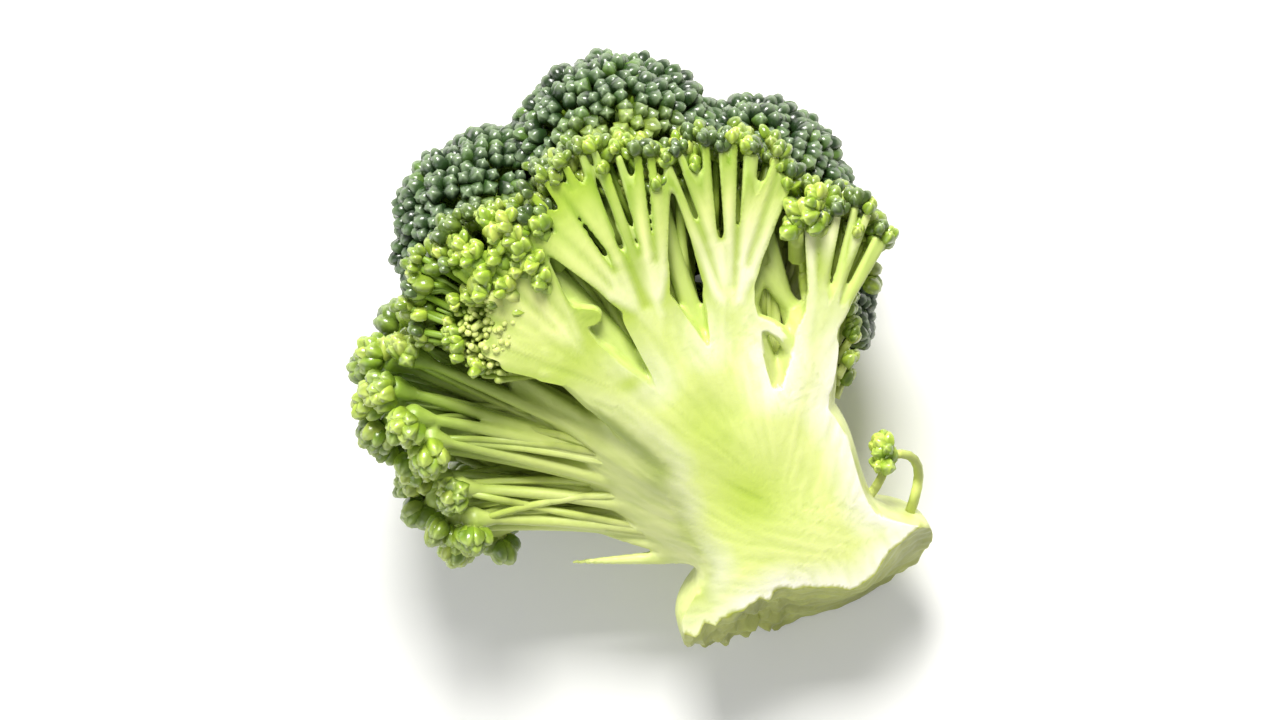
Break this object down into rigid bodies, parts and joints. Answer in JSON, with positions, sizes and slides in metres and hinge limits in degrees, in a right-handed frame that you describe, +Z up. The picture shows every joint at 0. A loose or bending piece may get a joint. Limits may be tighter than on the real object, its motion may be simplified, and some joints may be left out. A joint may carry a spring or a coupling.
{
  "type": "broccoli floret",
  "caption": "Raw broccoli floret lying on its back, cut lengthwise: pale stalk forking into fanned stalklets under a lobed crown of green buds.",
  "frame": {"origin": "under the middle of the floret, on the surface it lies on", "axes": "+Z up out of that surface; +Y along the growth, from the cut end of the stalk to the crown, as seen from above; +X to the right across the long cut face, seen from above with the crown away from the viewer"},
  "size_m": [0.0514, 0.0562, 0.0346],
  "materials": {
    "stalk": "moist, satin, slightly translucent cut flesh, pale yellow-green",
    "crown": "waxy dark green flower buds, lighter yellow-green near the cut"
  },
  "bodies": {
    "root": {"stalk": "stalk", "crown": "crown"}
  },
  "joints": []
}
